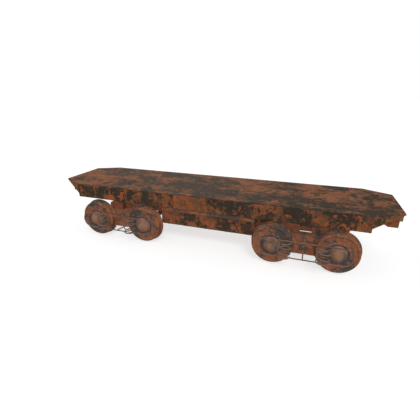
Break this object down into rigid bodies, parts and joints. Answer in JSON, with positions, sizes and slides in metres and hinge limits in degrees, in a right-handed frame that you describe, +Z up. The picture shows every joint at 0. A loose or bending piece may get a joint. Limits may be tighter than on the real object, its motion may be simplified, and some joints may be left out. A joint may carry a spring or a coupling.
{
  "type": "mine flat car",
  "caption": "Rusted steel mine flat car: a long deck with tapered ends over a belly box, carried on swivelling bogies with flanged wheels, side loops and coil springs.",
  "frame": {"origin": "midway along and across the car, on the plane that the wheel flanges stand on", "axes": "+X along the car to its front end, +Y to its left side, +Z up"},
  "size_m": [3.764, 1.162, 0.619],
  "materials": {
    "deck_rust": "rough orange-brown rust with dark scale patches",
    "body_rust": "dark brown scale with orange rust spots and streaks",
    "bogie_rust": "grey-brown casting skin mixed with orange rust",
    "wheel_rust": "grey-brown iron with orange rust, worn lighter on the rim",
    "cast_rust": "smooth casting with thin rust",
    "rod_steel": "grey-brown rod, lightly rusted",
    "spring_steel": "plain grey-brown spring wire",
    "pipe_steel": "dark grey pipe with rust patches",
    "worn_steel": "turned steel, greasy and worn",
    "bush_bronze": "dull bronze"
  },
  "bodies": {
    "car_frame": {"deck_centre_plate": "deck_rust", "deck_edge_plates": "deck_rust", "side_sill_left": "body_rust", "side_sill_right": "body_rust", "end_sills": "body_rust", "end_slope_plates": "body_rust", "end_side_plates": "body_rust", "centre_sills": "body_rust", "cross_bearers": "body_rust", "body_bolsters": "body_rust", "upper_centre_plates": "worn_steel", "side_bearers": "worn_steel", "king_pins": "worn_steel", "belly_box_walls": "body_rust", "belly_box_floor": "body_rust", "side_pipes": "pipe_steel", "pipe_brackets": "body_rust", "end_beams": "body_rust", "end_beam_brackets": "body_rust", "drawheads": "cast_rust"},
    "pin_front": {"coupling_pin_front": "worn_steel"},
    "pin_rear": {"coupling_pin_rear": "worn_steel"},
    "bogie_front": {"front_side_frame_left": "bogie_rust", "front_side_frame_right": "bogie_rust", "front_transoms": "bogie_rust", "front_bolster": "bogie_rust", "front_saddles": "bogie_rust", "front_centre_plate": "worn_steel", "front_axle_boxes": "bogie_rust", "front_bushes": "bush_bronze", "front_side_loops": "rod_steel", "front_loop_stays": "rod_steel", "front_springs": "spring_steel"},
    "bogie_rear": {"rear_side_frame_left": "bogie_rust", "rear_side_frame_right": "bogie_rust", "rear_transoms": "bogie_rust", "rear_bolster": "bogie_rust", "rear_saddles": "bogie_rust", "rear_centre_plate": "worn_steel", "rear_axle_boxes": "bogie_rust", "rear_bushes": "bush_bronze", "rear_side_loops": "rod_steel", "rear_loop_stays": "rod_steel", "rear_springs": "spring_steel"},
    "wheelset_1": {"axle_1": "worn_steel", "wheel_1_left": "wheel_rust", "wheel_1_right": "wheel_rust", "hub_caps_1": "cast_rust"},
    "wheelset_2": {"axle_2": "worn_steel", "wheel_2_left": "wheel_rust", "wheel_2_right": "wheel_rust", "hub_caps_2": "cast_rust"},
    "wheelset_3": {"axle_3": "worn_steel", "wheel_3_left": "wheel_rust", "wheel_3_right": "wheel_rust", "hub_caps_3": "cast_rust"},
    "wheelset_4": {"axle_4": "worn_steel", "wheel_4_left": "wheel_rust", "wheel_4_right": "wheel_rust", "hub_caps_4": "cast_rust"}
  },
  "joints": [
    {"name": "pin_front_lift", "type": "slide", "parent": "car_frame", "child": "pin_front", "axis": [0, 0, 1], "range_m": [0, 0.11]},
    {"name": "pin_rear_lift", "type": "slide", "parent": "car_frame", "child": "pin_rear", "axis": [0, 0, 1], "range_m": [0, 0.11]},
    {"name": "bogie_front_swivel", "type": "hinge", "parent": "car_frame", "child": "bogie_front", "pos_m": [1.019, 0, 0.43], "axis": [0, 0, 1], "range_deg": [-5, 5]},
    {"name": "bogie_rear_swivel", "type": "hinge", "parent": "car_frame", "child": "bogie_rear", "pos_m": [-1.019, 0, 0.43], "axis": [0, 0, 1], "range_deg": [-5, 5]},
    {"name": "wheelset_1_spin", "type": "hinge", "parent": "bogie_front", "child": "wheelset_1", "pos_m": [1.322, 0, 0.214], "axis": [0, 1, 0], "continuous": true},
    {"name": "wheelset_2_spin", "type": "hinge", "parent": "bogie_front", "child": "wheelset_2", "pos_m": [0.716, 0, 0.214], "axis": [0, 1, 0], "continuous": true},
    {"name": "wheelset_3_spin", "type": "hinge", "parent": "bogie_rear", "child": "wheelset_3", "pos_m": [-0.716, 0, 0.214], "axis": [0, 1, 0], "continuous": true},
    {"name": "wheelset_4_spin", "type": "hinge", "parent": "bogie_rear", "child": "wheelset_4", "pos_m": [-1.322, 0, 0.214], "axis": [0, 1, 0], "continuous": true}
  ]
}
